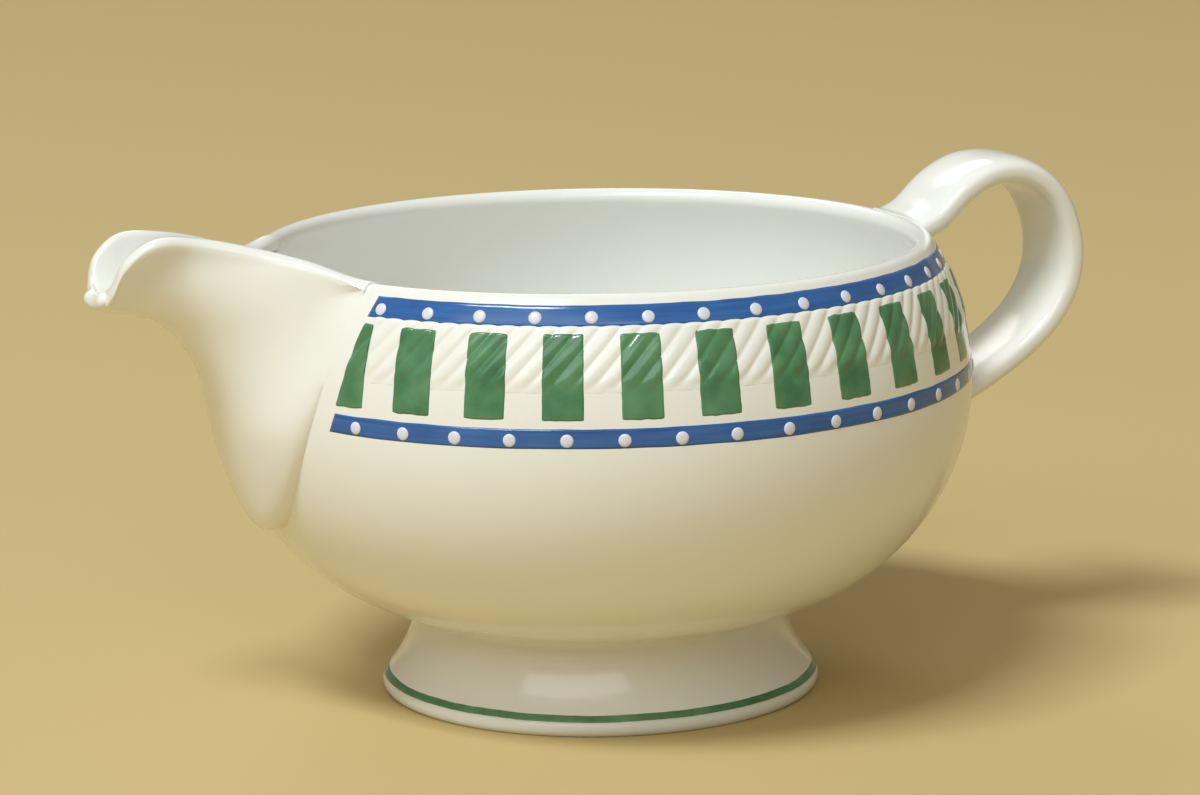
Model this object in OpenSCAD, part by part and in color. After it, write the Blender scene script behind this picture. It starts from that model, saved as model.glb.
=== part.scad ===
/* [Bowl] */
// Height of the rim above the table
rim_h = 81.5; // [80:0.5:83]
// Radius of the belly at its widest
belly_r = 67.3; // [66:0.1:69]
// Height of the widest part of the belly
belly_h = 56; // [55:0.5:57]
// Radius of the wall's curve above the widest part
upper_arc_r = 47; // [44:1:52]
// Radius of the wall's curve below the widest part
lower_arc_r = 41; // [40:0.5:42]
// Thickness of the porcelain
wall_t = 3.4; // [2.8:0.1:4]

/* [Spout] */
// Half the width of the spout where it leaves the rim
spout_half_w = 28.2; // [26:0.2:30]
// Height of the lowest point of the tongue under the spout
tongue_z = 34.3; // [33:0.1:36]
// Thickness of the lip
lip_t = 2.6; // [2:0.1:3.2]

/* [Handle] */
// Width of the strap where it grows out of the rim
strap_w_top = 20; // [17:0.5:22]
// Width of the strap where it meets the belly
strap_w_low = 18.5; // [15:0.5:20]
// Thickness of the strap
strap_t = 5.4; // [4.4:0.2:6]

/* [Foot] */
// Radius of the foot at the table
foot_r = 39.6; // [39:0.1:41]
// Radius of the foot's hollow flare
flare_r = 22; // [20:0.5:24]

/* [Decoration] */
// Thickness of the fired colours
decal_t = 0.15; // [0.1:0.05:0.2]
// Height of the rope moulding above the wall
rope_t = 0.25; // [0.2:0.05:0.3]
// Width of the blue bands
band_w = 3.3; // [2.8:0.1:3.8]
// Middle height of the upper blue band
upper_band_z = 78.3; // [77.8:0.1:78.5]
// Middle height of the lower blue band
lower_band_z = 58.7; // [58:0.1:59.5]
// Diameter of the raised dots
dot_d = 2.2; // [1.8:0.1:2.6]

/* [Hidden] */
$fn = 144;

china = [0.93, 0.94, 0.92];
cobalt = [0.21, 0.39, 0.63];
leaf_green = [0.29, 0.49, 0.35];
enamel = [0.90, 0.90, 0.96];

// The wall is two arcs that meet at the belly, and a flat floor inside the lower one.
upper_cr = belly_r - upper_arc_r;
lower_cr = belly_r - lower_arc_r;
floor_z = belly_h - lower_arc_r;
lip_cz = rim_h - wall_t / 2;
lip_a = asin((lip_cz - belly_h) / (upper_arc_r - wall_t / 2));
lip_cr = upper_cr + (upper_arc_r - wall_t / 2) * cos(lip_a);
reach = 100;

// Distance of the wall's outside (inset 0) or inside (inset wall_t) from the axis at height z.
function wall_x(z, inset) = z > belly_h
    ? upper_cr + sqrt(pow(upper_arc_r - inset, 2) - pow(z - belly_h, 2))
    : lower_cr + sqrt(pow(lower_arc_r - inset, 2) - pow(z - belly_h, 2));

// Half-width of the spout's tongue at height z.
tongue_h = rim_h - tongue_z;
function tongue_drop(z) = (rim_h - z) / tongue_h;
function tongue_w(z) = spout_half_w * pow(max(0, 1 - pow(tongue_drop(z), 2.5)), 0.6);

// Cross rows of the spout that start on the bowl, from the tongue up to the rim:
// height of the row's ends on the bowl, then keel x, keel z, and how boxy the row is.
tongue_rows = [
    [34.7, -63.2, 34.5, 2.4],
    [36.6, -64.7, 35.4, 2.4],
    [40.5, -66.5, 39.0, 2.4],
    [46.5, -68.6, 45.5, 2.3],
    [54.0, -70.4, 52.5, 2.2],
    [62.0, -72.4, 60.0, 2.0],
    [70.0, -75.2, 66.4, 1.8],
    [76.5, -78.4, 70.6, 1.6],
    [81.2, -81.0, 72.8, 1.5]
];

// Cross rows of the lip: end x, end y, end z, keel x, keel z, and how boxy the row is.
lip_rows = [
    [-57.5, 23.6, 82.5, -82.6, 73.6, 1.6],
    [-66.0, 17.2, 84.8, -84.6, 74.1, 1.9],
    [-76.0, 12.9, 87.2, -86.8, 74.5, 2.2],
    [-84.6, 12.3, 87.8, -89.0, 74.8, 2.6],
    [-89.9, 10.9, 84.2, -90.8, 75.1, 2.8],
    [-92.4, 8.4, 79.2, -92.2, 75.4, 2.8],
    [-93.6, 4.6, 77.0, -93.5, 76.0, 2.5]
];

// Every row in one form: [end x, end y, end z, keel x, keel z, boxiness].
function bowl_row(r) = let(w = tongue_w(r[0]), x = wall_x(r[0], 0))
    [-sqrt(x * x - w * w), w, r[0], r[1], r[2], r[3]];
spout_rows = concat([for (r = tongue_rows) bowl_row(r)], lip_rows);

// A smooth curve through a list of points, with steps points to a stretch.
function at(list, i) = list[max(0, min(len(list) - 1, i))];
function blend_point(a, b, c, d, t) =
    0.5 * (2 * b + (c - a) * t + (2 * a - 5 * b + 4 * c - d) * t * t
    + (3 * b - a - 3 * c + d) * t * t * t);
function smooth(list, steps) = concat(
    [for (i = [0:len(list) - 2], k = [0:steps - 1])
        blend_point(at(list, i - 1), list[i], list[i + 1], at(list, i + 2), k / steps)],
    [list[len(list) - 1]]
);

row_steps = 2;
smooth_rows = smooth(spout_rows, row_steps);
bowl_row_count = (len(tongue_rows) - 1) * row_steps + 1;
focus_ahead = 1.5;
focus_above = 2;
half_cols = 7;
cols = 2 * half_cols + 1;

// A point of the spout's outside: t runs from -1 at one end of the row to 1 at the other.
// The nose keeps the middle of every row round.
nose = 0.35;
function raised(t, p) = pow(nose * nose + t * t, p / 2) - pow(nose, p);
function across(r, t) = let(f = raised(t, r[5]) / raised(1, r[5]))
    [r[3] + (r[0] - r[3]) * f, r[1] * t, r[4] + (r[2] - r[4]) * f];
spout_out = [for (r = smooth_rows) [for (j = [0:cols - 1]) across(r, j / half_cols - 1)]];

function unit(v) = v / norm(v);
// The direction from a point of the outside towards the inside.
function inward_at(g, i, j) = unit(cross(
    at(g[i], j + 1) - at(g[i], j - 1),
    at(g, i + 1)[j] - at(g, i - 1)[j]
));

// Along the lip that direction turns towards a focus line that runs over the open channel.
lip_turn_rows = 3 * row_steps;
function lip_share(i) = min(1, max(0, (i - bowl_row_count + 1) / lip_turn_rows));
function focus(r) = [r[0] + focus_ahead, 0, r[2] + focus_above];
function thickness_at(g, i, j) = let(s = lip_share(i), p = g[i][j])
    unit(inward_at(g, i, j) * (1 - s) + unit(focus(smooth_rows[i]) - p) * s)
    * (wall_t + (lip_t - wall_t) * s);

// A point of the spout's inside: on the bowl's own inside along the tongue's edge.
function on_tongue_edge(i, j) = i == 0 || ((j == 0 || j == cols - 1) && i < bowl_row_count);
function inside_point(g, i, j) = let(p = g[i][j])
    on_tongue_edge(i, j)
    ? [-sqrt(pow(wall_x(p[2], wall_t), 2) - p[1] * p[1]), p[1], p[2]]
    : p + thickness_at(g, i, j);
spout_in = [for (i = [0:len(spout_out) - 1]) [for (j = [0:cols - 1]) inside_point(spout_out, i, j)]];

// Faces of a closed shell between two grids of points with the same rows and columns.
function quad(a, b, c, d) = [[a, b, c], [a, c, d]];
function shell_faces(rows, cols) = let(n = rows * cols)
    [for (f = concat(
        [for (i = [0:rows - 2], j = [0:cols - 2])
            quad(i * cols + j, i * cols + j + 1, (i + 1) * cols + j + 1, (i + 1) * cols + j)],
        [for (i = [0:rows - 2], j = [0:cols - 2])
            quad(n + i * cols + j, n + (i + 1) * cols + j,
                 n + (i + 1) * cols + j + 1, n + i * cols + j + 1)],
        [for (j = [0:cols - 2]) quad(j, n + j, n + j + 1, j + 1)],
        [for (j = [0:cols - 2], b = [(rows - 1) * cols])
            quad(b + j, b + j + 1, n + b + j + 1, n + b + j)],
        [for (i = [0:rows - 2]) quad(i * cols, (i + 1) * cols, n + (i + 1) * cols, n + i * cols)],
        [for (i = [0:rows - 2], e = [cols - 1])
            quad(i * cols + e, n + i * cols + e, n + (i + 1) * cols + e, (i + 1) * cols + e)]
    )) for (t = f) t];

// Middle line of the strap, from inside the rim over the top and down to the belly: [x, z].
strap_line = [
    [58.2, 76.0],
    [60.4, 78.6],
    [65.2, 81.2],
    [70.4, 85.8],
    [76.5, 88.6],
    [83.4, 88.1],
    [89.1, 83.7],
    [92.4, 76.2],
    [92.3, 68.3],
    [88.9, 61.5],
    [83.2, 56.1],
    [76.2, 51.6],
    [69.2, 47.9],
    [64.2, 45.0]
];
strap_steps = 2;
strap_path = smooth(strap_line, strap_steps);
section_n = 20;
boxy = 2.7;

function signed_pow(v, e) = sign(v) * pow(abs(v), e);
function strap_ring(i) = let(
    p = strap_path[i],
    d = unit(at(strap_path, i + 1) - at(strap_path, i - 1)),
    s = i / (len(strap_path) - 1),
    w = strap_w_top + (strap_w_low - strap_w_top) * s
) [for (k = [0:section_n - 1]) let(
    a = 360 * k / section_n,
    u = strap_t / 2 * signed_pow(cos(a), 2 / boxy),
    v = w / 2 * signed_pow(sin(a), 2 / boxy)
) [p[0] - d[1] * u, v, p[1] + d[0] * u]];

// Centre of the foot's hollow flare.
flare_cr = foot_r + 15.7;
flare_cz = 17.8;
foot_edge_z = 2.6;
bead_r = 1.6;
bead_z = 1.4;
foot_inner_r = foot_r - 4.8;
foot_line_w = 1;

// Decoration, in degrees from the middle of the spout.
frieze_from = 31.4;
upper_band_from = 30.4;
lower_band_from = 26;
decor_to = 169;
rope_low_z = 66;
block_low_z = 61.7;
block_high_z = 75.5;
block_from = 36.9;
block_pitch = 11.4;
block_a = 6;
block_count = 12;
first_block_from = 28.7;
upper_dot_from = 32.1;
upper_dot_pitch = 8.71;
upper_dot_count = 16;
lower_dot_from = 30.6;
lower_dot_pitch = 8.16;
lower_dot_count = 17;
dot_t = 0.3;
dot_drop = 0.3;

// Flat outline of a layer of the wall above the belly, between two heights.
module wall_layer(from_t, to_t, z_lo, z_hi) {
    intersection() {
        translate([upper_cr, belly_h]) difference() {
            circle(r = upper_arc_r + to_t);
            circle(r = upper_arc_r + from_t);
        }
        translate([upper_cr, z_lo]) square([reach, z_hi - z_lo]);
    }
}

// Turns a flat outline round the axis on both sides of the spout, between two angles.
module both_sides(from_a, to_a) {
    for (side = [180 + from_a, 180 - to_a])
        rotate([0, 0, side]) rotate_extrude(angle = to_a - from_a) children();
}

module bowl_outline() {
    intersection() {
        translate([upper_cr, belly_h]) difference() {
            circle(r = upper_arc_r);
            circle(r = upper_arc_r - wall_t);
        }
        translate([upper_cr, belly_h]) polygon([[0, 0], [reach, 0], [reach, reach * tan(lip_a)]]);
    }
    intersection() {
        translate([lower_cr, belly_h]) difference() {
            circle(r = lower_arc_r);
            circle(r = lower_arc_r - wall_t);
        }
        translate([lower_cr, belly_h - reach]) square([reach, reach]);
    }
    translate([0, floor_z]) square([lower_cr, wall_t]);
    translate([lip_cr, lip_cz]) circle(r = wall_t / 2);
}

// The space that the bowl and its inside fill together, up to just under the rim.
module bowl_solid() {
    rotate_extrude() {
        intersection() {
            translate([upper_cr, belly_h]) circle(r = upper_arc_r);
            translate([upper_cr, belly_h]) square([reach, lip_cz - belly_h]);
        }
        intersection() {
            translate([lower_cr, belly_h]) circle(r = lower_arc_r);
            translate([lower_cr, belly_h - reach]) square([reach, reach]);
        }
        translate([0, floor_z]) square([lower_cr, lip_cz - floor_z]);
    }
}

// The opening behind the spout, as seen along X.
module tongue_opening() {
    side = [for (i = [0:bowl_row_count - 1]) [smooth_rows[i][1], smooth_rows[i][2]]];
    top = [[spout_half_w, rim_h + wall_t]];
    right = concat(side, top);
    left = [for (i = [len(right) - 1:-1:0]) [-right[i][0], right[i][1]]];
    translate([-reach, 0, 0]) rotate([90, 0, 90])
        linear_extrude(reach - upper_cr) polygon(concat(right, left));
}

module bowl() {
    color(china) difference() {
        rotate_extrude() bowl_outline();
        tongue_opening();
    }
}

module spout() {
    points = [for (g = [spout_out, spout_in]) for (r = g) for (p = r) p];
    color(china) polyhedron(points, shell_faces(len(spout_out), cols));
}

module handle() {
    rings = [for (i = [0:len(strap_path) - 1]) strap_ring(i)];
    last = (len(rings) - 1) * section_n;
    walls = [for (i = [0:len(rings) - 2], k = [0:section_n - 1]) let(
        a = i * section_n + k,
        b = i * section_n + (k + 1) % section_n
    ) each quad(a, b, b + section_n, a + section_n)];
    ends = [
        [for (k = [section_n - 1:-1:0]) k],
        [for (k = [0:section_n - 1]) last + k]
    ];
    color(china) difference() {
        polyhedron([for (r = rings) for (p = r) p], concat(walls, ends));
        bowl_solid();
    }
}

module foot() {
    color(china) difference() {
        rotate_extrude() {
            intersection() {
                translate([flare_cr, flare_cz]) difference() {
                    circle(r = flare_r + wall_t);
                    circle(r = flare_r);
                }
                translate([0, foot_edge_z]) square([flare_cr, flare_cz - foot_edge_z]);
            }
            translate([foot_inner_r, 0]) square([foot_r - bead_r - foot_inner_r, foot_edge_z]);
            intersection() {
                translate([foot_r - bead_r, bead_z]) circle(r = bead_r);
                square([reach, foot_edge_z]);
            }
        }
        bowl_solid();
    }
}

module rope_frieze() {
    color(china) both_sides(frieze_from, decor_to)
        wall_layer(0, rope_t, rope_low_z, upper_band_z - band_w / 2);
}

module band(z, from_a) {
    both_sides(from_a, decor_to) wall_layer(0, decal_t, z - band_w / 2, z + band_w / 2);
}

module upper_blue_band() {
    color(cobalt) band(upper_band_z, upper_band_from);
}

module lower_blue_band() {
    color(cobalt) band(lower_band_z, lower_band_from);
}

// A row of raised dots on each side, standing square to the wall at height z.
module dots(z, from_a, pitch, count) {
    lean = asin((z - belly_h) / upper_arc_r);
    for (side = [-1, 1], i = [0:count - 1])
        rotate([0, 0, 180 + side * (from_a + i * pitch)])
            translate([upper_cr, 0, belly_h])
                rotate([0, 90 - lean, 0])
                    translate([0, 0, upper_arc_r + decal_t]) cylinder(d = dot_d, h = dot_t);
}

module upper_dots() {
    color(enamel) dots(upper_band_z - dot_drop, upper_dot_from, upper_dot_pitch, upper_dot_count);
}

module lower_dots() {
    color(enamel) dots(lower_band_z - dot_drop, lower_dot_from, lower_dot_pitch, lower_dot_count);
}

// Outline of the green colour, which lies over the wall and over the rope moulding.
module green_outline(z_lo, z_hi) {
    difference() {
        wall_layer(0, rope_t + decal_t, z_lo, z_hi);
        wall_layer(0, rope_t, rope_low_z, rim_h);
    }
}

// The narrow block beside the spout lies on the plain wall.
module green_blocks() {
    color(leaf_green) {
        both_sides(first_block_from, frieze_from)
            wall_layer(0, decal_t, block_low_z, block_high_z);
        for (i = [0:block_count - 1])
            both_sides(block_from + i * block_pitch, block_from + i * block_pitch + block_a)
                green_outline(block_low_z, block_high_z);
    }
}

module green_foot_line() {
    color(leaf_green) rotate_extrude() intersection() {
        translate([flare_cr, flare_cz]) difference() {
            circle(r = flare_r);
            circle(r = flare_r - decal_t);
        }
        translate([0, foot_edge_z]) square([flare_cr, foot_line_w]);
    }
}

bowl();
spout();
handle();
foot();
rope_frieze();
upper_blue_band();
lower_blue_band();
upper_dots();
lower_dots();
green_blocks();
green_foot_line();
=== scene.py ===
"""Gravy boat in white glazed porcelain, with a painted border between two blue bands.

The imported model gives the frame. Every piece of clay and every layer of colour is modelled here at its
real size, and stands for the plain node of the same name.
"""

import logging
import math
from dataclasses import dataclass, field
from enum import Enum
from typing import Callable, Sequence

import bpy
from mathutils import Matrix, Vector, noise


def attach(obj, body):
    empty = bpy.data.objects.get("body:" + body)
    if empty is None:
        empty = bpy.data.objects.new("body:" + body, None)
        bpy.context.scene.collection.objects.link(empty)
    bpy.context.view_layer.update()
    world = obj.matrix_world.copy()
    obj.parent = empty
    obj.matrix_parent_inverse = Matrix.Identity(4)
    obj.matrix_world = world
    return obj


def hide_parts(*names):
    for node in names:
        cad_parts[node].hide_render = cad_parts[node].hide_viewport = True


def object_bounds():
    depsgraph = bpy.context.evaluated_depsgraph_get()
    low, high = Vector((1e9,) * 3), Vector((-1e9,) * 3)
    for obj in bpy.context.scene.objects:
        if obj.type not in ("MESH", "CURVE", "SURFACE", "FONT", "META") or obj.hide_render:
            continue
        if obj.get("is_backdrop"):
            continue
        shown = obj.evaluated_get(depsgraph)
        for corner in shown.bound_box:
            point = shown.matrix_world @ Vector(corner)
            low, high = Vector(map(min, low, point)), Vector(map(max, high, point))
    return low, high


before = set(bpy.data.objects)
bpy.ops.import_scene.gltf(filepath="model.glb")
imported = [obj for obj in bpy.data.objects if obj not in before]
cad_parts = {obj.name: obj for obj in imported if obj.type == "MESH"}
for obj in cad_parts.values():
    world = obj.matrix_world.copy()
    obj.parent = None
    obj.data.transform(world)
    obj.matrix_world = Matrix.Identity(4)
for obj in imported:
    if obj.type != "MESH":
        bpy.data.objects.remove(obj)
CAD_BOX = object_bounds()

MM = 0.001
TOUCHING = 0.002 * MM
CREASE = math.radians(50)

log = logging.getLogger("gravy_boat")

Row = tuple[float, ...]
Place = Callable[[int, int], Vector]


class Slot(Enum):
    """The record's material slots."""

    PORCELAIN = "porcelain"
    BLUE = "blue_glaze_colour"
    GREEN = "green_glaze_colour"
    ENAMEL = "white_enamel"


class Side(Enum):
    """The two sides of the pot, as the sense in which angles run from the spout."""

    FRONT = 1
    BACK = -1


# ---------------------------------------------------------------- small tools


def clamp(value: float, low: float, high: float) -> float:
    """Keeps a value between two limits.

    Args:
        value: the value.
        low: the least it may be.
        high: the most it may be.

    Returns:
        The nearest allowed value.
    """
    return max(low, min(high, value))


def ease(value: float, start: float, end: float) -> float:
    """A smooth step.

    Args:
        value: where on the way it is.
        start: the value at which the step begins.
        end: the value at which it is done.

    Returns:
        0 before start, 1 after end, and a smooth rise between them.
    """
    share = clamp((value - start) / (end - start), 0.0, 1.0)
    return share * share * (3 - 2 * share)


def wander(seed: float, along: float, scale: float) -> float:
    """A hand's small wavering along a line.

    Args:
        seed: which line it is.
        along: the place on the line.
        scale: how far apart the waves are, in the same unit.

    Returns:
        A smooth value between about -1 and 1, the same in each run.
    """
    return noise.noise(Vector((along / scale, seed * 7.31, seed * 3.17)))


def smooth_rows(rows: Sequence[Row], steps: int) -> list[Row]:
    """Draws a smooth curve through rows of numbers.

    Args:
        rows: the rows that it passes through.
        steps: how many rows it gives for each stretch.

    Returns:
        The rows along the curve, ends included.
    """
    last = len(rows) - 1
    made: list[Row] = []
    for i in range(last):
        four = [rows[int(clamp(i + k, 0, last))] for k in (-1, 0, 1, 2)]
        for step in range(steps):
            t = step / steps
            made.append(
                tuple(
                    0.5
                    * (
                        2 * b
                        + (c - a) * t
                        + (2 * a - 5 * b + 4 * c - d) * t**2
                        + (3 * b - a - 3 * c + d) * t**3
                    )
                    for a, b, c, d in zip(*four)
                )
            )
    made.append(tuple(rows[-1]))
    return made


def signed_power(value: float, power: float) -> float:
    """Raises the size of a value to a power and keeps its sign."""
    return math.copysign(abs(value) ** power, value)


def start_clean() -> None:
    """Leaves edit mode and deselects every object."""
    if bpy.context.object and bpy.context.object.mode != "OBJECT":
        bpy.ops.object.mode_set(mode="OBJECT")
    bpy.ops.object.select_all(action="DESELECT")


def sheet(name: str, rows: int, cols: int, place: Place) -> bpy.types.Object:
    """A grid whose points are put where a rule says.

    Args:
        name: the piece's name.
        rows: how many faces it has one way.
        cols: how many faces it has the other way.
        place: the rule, from row and column to a point.

    Returns:
        The sheet.
    """
    start_clean()
    bpy.ops.mesh.primitive_grid_add(x_subdivisions=cols, y_subdivisions=rows, size=2)
    piece = bpy.context.object
    piece.name = piece.data.name = name
    for vertex in piece.data.vertices:
        col = round((vertex.co.x + 1) / 2 * cols)
        row = round((vertex.co.y + 1) / 2 * rows)
        vertex.co = place(row, col)
    return piece


def tube(name: str, rings: list[list[Vector]], ends: Sequence[list[Vector]]) -> bpy.types.Object:
    """A closed skin through a row of rings.

    Args:
        name: the piece's name.
        rings: the rings, from end to end.
        ends: the end rings that are open, each started where its two halves lie face to face. A ring
            that is only a line closes itself.

    Returns:
        The piece, its open ends capped.
    """
    count = len(rings[0])
    skin = sheet(name, len(rings) - 1, count, lambda row, col: rings[row][col % count])
    caps = [
        sheet("cap", 1, count // 2, lambda row, col, ring=ring: ring[col] if row == 0 else ring[-col])
        for ring in ends
    ]
    return closed(name, [skin] + caps)


def only(piece: bpy.types.Object) -> None:
    """Selects one piece and makes it the active one."""
    start_clean()
    piece.select_set(True)
    bpy.context.view_layer.objects.active = piece


def joined(name: str, parts: Sequence[bpy.types.Object]) -> bpy.types.Object:
    """Makes separate parts one object, and leaves their points alone.

    Args:
        name: the name of the joined piece.
        parts: the parts.

    Returns:
        The piece.
    """
    start_clean()
    for part in parts:
        part.select_set(True)
    bpy.context.view_layer.objects.active = parts[0]
    if len(parts) > 1:
        bpy.ops.object.join()
    piece = bpy.context.object
    piece.name = piece.data.name = name
    return piece


def closed(name: str, parts: Sequence[bpy.types.Object]) -> bpy.types.Object:
    """Joins sheets into one closed skin with its faces outwards.

    Args:
        name: the name of the joined piece.
        parts: the sheets, whose edges meet.

    Returns:
        The piece, smooth shaded except over sharp edges.
    """
    piece = joined(name, parts)
    bpy.ops.object.mode_set(mode="EDIT")
    bpy.ops.mesh.select_all(action="SELECT")
    bpy.ops.mesh.remove_doubles(threshold=TOUCHING)
    bpy.ops.mesh.normals_make_consistent(inside=False)
    bpy.ops.object.mode_set(mode="OBJECT")
    bpy.ops.object.shade_smooth_by_angle(angle=CREASE)
    return piece


def thicken(piece: bpy.types.Object, depth: float) -> None:
    """Gives a sheet a thickness below its face.

    Args:
        piece: the sheet.
        depth: how deep it goes.
    """
    only(piece)
    solid = piece.modifiers.new("depth", "SOLIDIFY")
    solid.thickness = depth
    solid.offset = -1
    bpy.ops.object.modifier_apply(modifier=solid.name)
    bpy.ops.object.shade_smooth()


def face_outwards(piece: bpy.types.Object) -> None:
    """Turns an open sheet so that it looks away from the pot's axis.

    Args:
        piece: the sheet.
    """
    face = piece.data.polygons[len(piece.data.polygons) // 2]
    away = Vector((face.center.x, face.center.y, 0))
    if face.normal.dot(away) < 0:
        only(piece)
        bpy.ops.object.mode_set(mode="EDIT")
        bpy.ops.mesh.select_all(action="SELECT")
        bpy.ops.mesh.flip_normals()
        bpy.ops.object.mode_set(mode="OBJECT")


def laid_on(sheet_piece: bpy.types.Object, depth: float) -> bpy.types.Object:
    """Makes a sheet that follows the wall a thin solid, with its face outwards.

    Args:
        sheet_piece: the sheet.
        depth: how deep the solid goes into the wall.

    Returns:
        The same piece.
    """
    face_outwards(sheet_piece)
    thicken(sheet_piece, depth)
    return sheet_piece


def settle(piece: bpy.types.Object, slot: Slot, material: bpy.types.Material, *nodes: str) -> None:
    """Dresses a finished piece and says what it stands for.

    Args:
        piece: the piece.
        slot: the record's slot that its finish belongs to; not used.
        material: its material.
        nodes: the plain nodes that it replaces.
    """
    piece.data.materials.clear()
    piece.data.materials.append(material)
    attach(piece, "root")
    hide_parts(*nodes)
    log.info("%s: %d faces, stands for %s", piece.name, len(piece.data.polygons), ", ".join(nodes))


# ---------------------------------------------------------------- the wall


@dataclass(frozen=True)
class Wall:
    """The bowl's wall, which everything else is laid on or grows from.

    Angles run from the middle of the spout, and the front of the pot is on their positive side.
    """

    rim_height: float = 81.5 * MM
    belly_radius: float = 67.3 * MM
    belly_height: float = 56 * MM
    upper_arc: float = 47 * MM
    lower_arc: float = 41 * MM
    thickness: float = 3.4 * MM
    tongue_low: float = 34.3 * MM
    tongue_half_width: float = 28.2 * MM
    tongue_drop_power: float = 2.5
    tongue_width_power: float = 0.6

    @property
    def floor_height(self) -> float:
        """Height of the underside of the bowl's floor."""
        return self.belly_height - self.lower_arc

    @property
    def lip_radius(self) -> float:
        """Radius of the rounding of the rim."""
        return self.thickness / 2

    @property
    def lip_angle(self) -> float:
        """Angle of the wall's curve at which the rounding of the rim begins."""
        rise = self.rim_height - self.lip_radius - self.belly_height
        return math.asin(rise / (self.upper_arc - self.lip_radius))

    @property
    def lip_centre(self) -> tuple[float, float]:
        """Centre of the rounding of the rim, as distance from the axis and height."""
        run = (self.upper_arc - self.lip_radius) * math.cos(self.lip_angle)
        return self.belly_radius - self.upper_arc + run, self.rim_height - self.lip_radius

    @property
    def joint_heights(self) -> tuple[float, float]:
        """Heights at which the outer and the inner face meet the rounding of the rim."""
        rise = self.lip_radius * math.sin(self.lip_angle)
        return self.lip_centre[1] + rise, self.lip_centre[1] - rise

    def curve(self, height: float) -> tuple[float, float]:
        """The arc that the wall follows at a height.

        Args:
            height: the height.

        Returns:
            The distance of the arc's centre from the axis, and the arc's radius.
        """
        arc = self.upper_arc if height > self.belly_height else self.lower_arc
        return self.belly_radius - arc, arc

    def radius(self, height: float, inset: float = 0.0) -> float:
        """Distance of the wall from the axis.

        Args:
            height: the height.
            inset: how far inside the outer face it is taken.

        Returns:
            The distance from the axis.
        """
        centre, arc = self.curve(height)
        rise = height - self.belly_height
        return centre + math.sqrt(max(0.0, (arc - inset) ** 2 - rise**2))

    def tongue_width(self, height: float) -> float:
        """Half the width of the spout's tongue at a height."""
        drop = (self.rim_height - height) / (self.rim_height - self.tongue_low)
        rest = 1 - max(0.0, drop) ** self.tongue_drop_power
        return self.tongue_half_width * max(0.0, rest) ** self.tongue_width_power

    def at(self, angle: float, height: float, lift: float = 0.0) -> Vector:
        """A point over the outer face.

        Args:
            angle: degrees from the spout.
            height: the height of the point of the face that it stands over.
            lift: how far it stands off the face.

        Returns:
            The point.
        """
        centre, arc = self.curve(height)
        lean = math.asin((height - self.belly_height) / arc)
        return turned(
            centre + (arc + lift) * math.cos(lean),
            math.radians(angle),
            self.belly_height + (arc + lift) * math.sin(lean),
        )

    def distance(self, point: Vector) -> float:
        """How far a point is outside the outer face, or the rim's rounding above it."""
        out = math.hypot(point.x, point.y)
        lip_out, lip_height = self.lip_centre
        centre, arc = self.curve(point.z)
        if math.atan2(point.z - self.belly_height, out - centre) > self.lip_angle:
            return math.hypot(out - lip_out, point.z - lip_height) - self.lip_radius
        return math.hypot(out - centre, point.z - self.belly_height) - arc

    def outward(self, point: Vector) -> Vector:
        """The direction straight off the wall at a point."""
        centre, _ = self.curve(point.z)
        around = Vector((point.x, point.y, 0)).normalized()
        return (point - around * centre - Vector((0, 0, self.belly_height))).normalized()


def turned(out: float, angle: float, height: float) -> Vector:
    """A point from its distance from the axis, its angle from the spout and its height."""
    return Vector((-out * math.cos(angle), -out * math.sin(angle), height))


# ---------------------------------------------------------------- finishes


def new_group(name: str, inputs: dict[str, float], outputs: dict[str, str]) -> bpy.types.NodeTree:
    """Starts a shader node group.

    Args:
        name: the group's name.
        inputs: its number inputs and their usual values.
        outputs: its outputs and their socket types.

    Returns:
        The group, with its input and output nodes in place.
    """
    tree = bpy.data.node_groups.new(name, "ShaderNodeTree")
    for label, value in inputs.items():
        socket = tree.interface.new_socket(label, in_out="INPUT", socket_type="NodeSocketFloat")
        socket.default_value = value
    for label, kind in outputs.items():
        tree.interface.new_socket(label, in_out="OUTPUT", socket_type=kind)
    tree.nodes.new("NodeGroupInput").name = "in"
    tree.nodes.new("NodeGroupOutput").name = "out"
    return tree


def arithmetic(tree: bpy.types.NodeTree, operation: str, *values: object) -> bpy.types.NodeSocket:
    """Adds a Math node.

    Args:
        tree: where it goes.
        operation: what it does.
        values: its inputs, each a number or a socket.

    Returns:
        Its output.
    """
    node = tree.nodes.new("ShaderNodeMath")
    node.operation = operation
    for socket, value in zip(node.inputs, values):
        if isinstance(value, bpy.types.NodeSocket):
            tree.links.new(value, socket)
        else:
            socket.default_value = value
    return node.outputs[0]


def cloud(
    tree: bpy.types.NodeTree, scale: object, detail: float, stretch: Row = (1, 1, 1)
) -> bpy.types.NodeSocket:
    """Adds a noise that is fixed to the object.

    Args:
        tree: where it goes.
        scale: how fine it is, a number or a socket.
        detail: how many finer layers it has.
        stretch: how much faster it changes along each axis.

    Returns:
        Its value, about 0 to 1.
    """
    place = tree.nodes.new("ShaderNodeTexCoord")
    mapping = tree.nodes.new("ShaderNodeMapping")
    mapping.inputs["Scale"].default_value = stretch
    texture = tree.nodes.new("ShaderNodeTexNoise")
    texture.inputs["Detail"].default_value = detail
    tree.links.new(place.outputs["Object"], mapping.inputs["Vector"])
    tree.links.new(mapping.outputs["Vector"], texture.inputs["Vector"])
    if isinstance(scale, bpy.types.NodeSocket):
        tree.links.new(scale, texture.inputs["Scale"])
    else:
        texture.inputs["Scale"].default_value = scale
    return texture.outputs["Fac"]


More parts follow.
